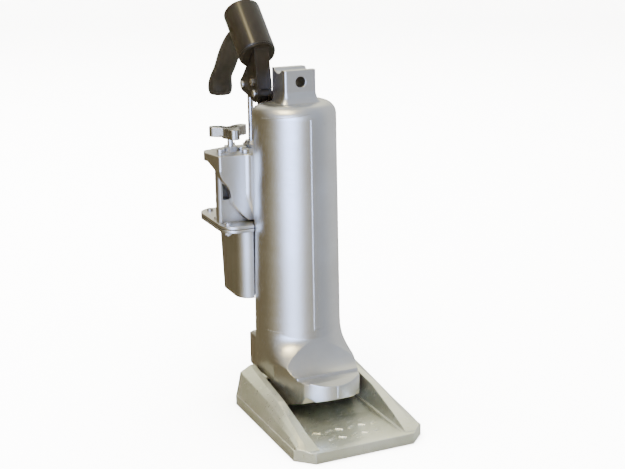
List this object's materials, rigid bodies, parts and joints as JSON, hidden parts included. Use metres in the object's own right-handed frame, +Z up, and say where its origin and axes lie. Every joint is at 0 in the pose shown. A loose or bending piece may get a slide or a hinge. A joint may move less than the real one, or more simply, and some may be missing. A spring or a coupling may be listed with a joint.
{
  "type": "hydraulic toe jack",
  "caption": "Hand-pumped hydraulic jack: a round lifting housing with a low toe rides on a ram standing in a wedge-sided base, with a side pump, tank, release knob and lever.",
  "frame": {"origin": "on the ram's axis at the underside of the base", "axes": "+Z up along the ram, -Y towards the lifting toe, -X towards the pump, tank and lever"},
  "size_m": [0.1709, 0.3701, 0.4777],
  "materials": {
    "cast_silver": "satin silver paint over cast aluminium",
    "ram_steel": "ground and hard-chromed steel",
    "fastener_steel": "zinc-plated steel",
    "seal_rubber": "moulded oil-resistant rubber",
    "bronze": "turned bearing bronze",
    "black_enamel": "gloss black paint on steel",
    "grip_rubber": "matte black moulded grip"
  },
  "bodies": {
    "base": {"base_casting": "cast_silver", "ram_post": "ram_steel", "ram_lock_pin": "fastener_steel", "piston_head": "ram_steel", "piston_seal": "seal_rubber", "piston_bolt": "fastener_steel"},
    "lift": {"lift_housing": "cast_silver", "cylinder_barrel": "ram_steel", "barrel_seat_ring": "fastener_steel", "ram_guide_bush": "bronze", "rod_wiper": "seal_rubber", "barrel_gland_nut": "fastener_steel", "pump_block": "cast_silver", "block_screws": "fastener_steel", "pressure_nipple": "fastener_steel", "pump_barrel": "ram_steel", "plunger_seal": "seal_rubber", "pump_gland_nut": "fastener_steel", "valve_gland_nut": "fastener_steel", "filler_plug": "fastener_steel", "suction_valve": "fastener_steel", "delivery_valve": "fastener_steel", "tank_cover": "cast_silver", "tank_gasket": "seal_rubber", "reservoir_tank": "cast_silver", "tank_screws": "fastener_steel", "tank_nuts": "fastener_steel", "fulcrum_eye": "black_enamel"},
    "lever": {"lever_yoke": "black_enamel", "socket_tube": "black_enamel", "socket_bolt": "fastener_steel", "fulcrum_pin": "fastener_steel", "crank_pin": "fastener_steel", "grip_tang": "black_enamel", "hand_grip": "grip_rubber"},
    "plunger": {"pump_plunger": "ram_steel"},
    "valve": {"valve_stem": "ram_steel", "valve_knob": "cast_silver", "knob_pin": "fastener_steel"}
  },
  "joints": [
    {"name": "ram_lift", "type": "slide", "parent": "base", "child": "lift", "axis": [0, 0, 1], "range_m": [0, 0.127]},
    {"name": "lever_swing", "type": "hinge", "parent": "lift", "child": "lever", "pos_m": [-0.0291, 0.0271, 0.3732], "axis": [1, 0, 0], "range_deg": [-25, 15]},
    {"name": "plunger_stroke", "type": "slide", "parent": "lift", "child": "plunger", "axis": [0, 0, 1], "range_m": [-0.0164, 0.0099]},
    {"name": "valve_turn", "type": "hinge", "parent": "lift", "child": "valve", "pos_m": [-0.0615, 0.0495, 0.3], "axis": [0, 0, 1], "range_deg": [0, 180]}
  ],
  "couplings": [
    {"joint": "plunger_stroke", "follows": "lever_swing", "m_per_rad": 0.0371}
  ]
}
